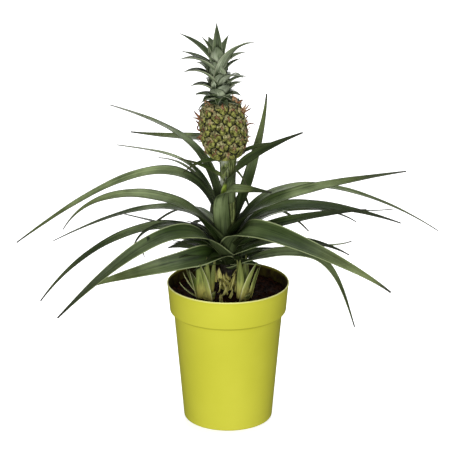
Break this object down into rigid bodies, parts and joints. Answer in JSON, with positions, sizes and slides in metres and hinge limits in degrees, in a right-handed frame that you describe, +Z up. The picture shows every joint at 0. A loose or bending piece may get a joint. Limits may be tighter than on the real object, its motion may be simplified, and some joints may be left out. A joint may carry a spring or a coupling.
{
  "type": "potted pineapple plant",
  "caption": "Pineapple plant in a tapered lime-green pot, with arching blade leaves round a short stem that carries a small leaning fruit under a leafy crown.",
  "frame": {"origin": "centre of the pot's underside, on the surface that it stands on", "axes": "+Z up along the pot's axis, -Y towards the pictured front, +X to the right seen from that front"},
  "size_m": [0.4942, 0.2954, 0.4674],
  "materials": {
    "pot": "smooth satin, lime yellow-green",
    "soil": "rough, dark moist potting soil",
    "stem": "matt, fibrous green stalk, brown at the foot",
    "shoots": "smooth, pale yellow-green sheaths",
    "leaves": "satin, grey-green blades with pale margins and dry tips",
    "fruit": "satin olive eyes with brown seams and dried florets",
    "crown": "satin, pale grey-green bases and darker tips"
  },
  "bodies": {
    "root": {"pot": "pot", "soil": "soil", "stem": "stem", "shoot_left": "shoots", "shoot_right": "shoots", "fruit": "fruit", "crown": "crown", "leaf_01": "leaves", "leaf_02": "leaves", "leaf_03": "leaves", "leaf_04": "leaves", "leaf_05": "leaves", "leaf_06": "leaves", "leaf_07": "leaves", "leaf_08": "leaves", "leaf_09": "leaves", "leaf_10": "leaves", "leaf_11": "leaves", "leaf_12": "leaves", "leaf_13": "leaves", "leaf_14": "leaves", "leaf_15": "leaves", "leaf_16": "leaves", "leaf_17": "leaves", "leaf_18": "leaves", "leaf_19": "leaves", "leaf_20": "leaves", "leaf_21": "leaves", "leaf_22": "leaves", "leaf_23": "leaves", "leaf_24": "leaves", "leaf_25": "leaves", "leaf_26": "leaves", "leaf_27": "leaves", "leaf_28": "leaves", "leaf_29": "leaves", "leaf_30": "leaves", "leaf_31": "leaves", "leaf_32": "leaves", "leaf_33": "leaves"}
  },
  "joints": []
}
